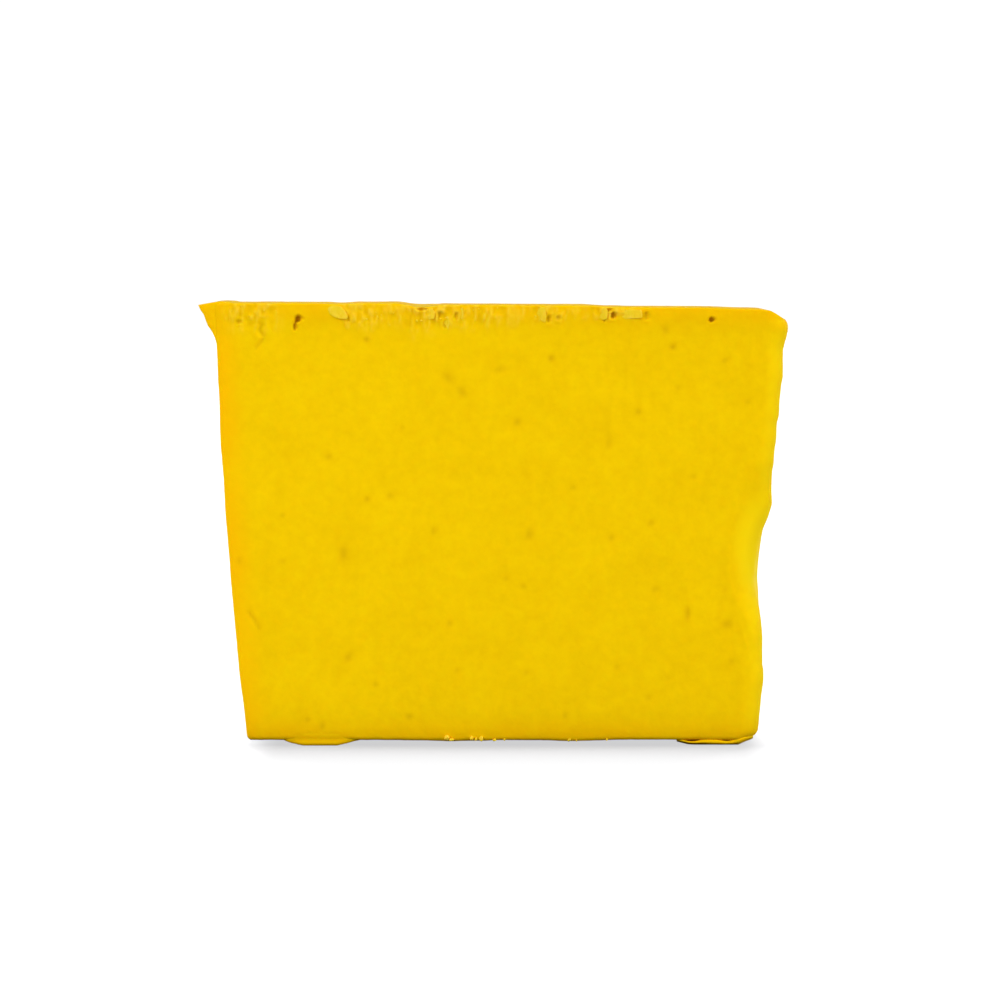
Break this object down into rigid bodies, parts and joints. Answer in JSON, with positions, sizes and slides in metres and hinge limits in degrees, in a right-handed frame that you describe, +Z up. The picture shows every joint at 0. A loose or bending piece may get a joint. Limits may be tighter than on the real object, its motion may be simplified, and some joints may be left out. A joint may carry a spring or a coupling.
{
  "type": "detailing clay bar",
  "caption": "Soft block of detailing clay, cut square at one end and pressed by hand at the other, rubbed over wet paint to lift bonded grit.",
  "frame": {"origin": "on the table, under the middle of the whole object's box", "axes": "+Z up, +X along the bar's long side towards the end that was pressed by hand, -Y the way the broad front face looks"},
  "size_m": [0.074, 0.0188, 0.056],
  "materials": {
    "clay": "matt, waxy, opaque yellow putty",
    "torn_clay": "matt, freshly torn yellow putty, a little paler"
  },
  "bodies": {
    "root": {"clay_bar": "clay", "corner_flap": "clay", "top_edge_crumbs": "torn_clay", "foot_edge_crumbs": "torn_clay", "squeezed_lip": "clay", "folded_flake": "clay"}
  },
  "joints": []
}
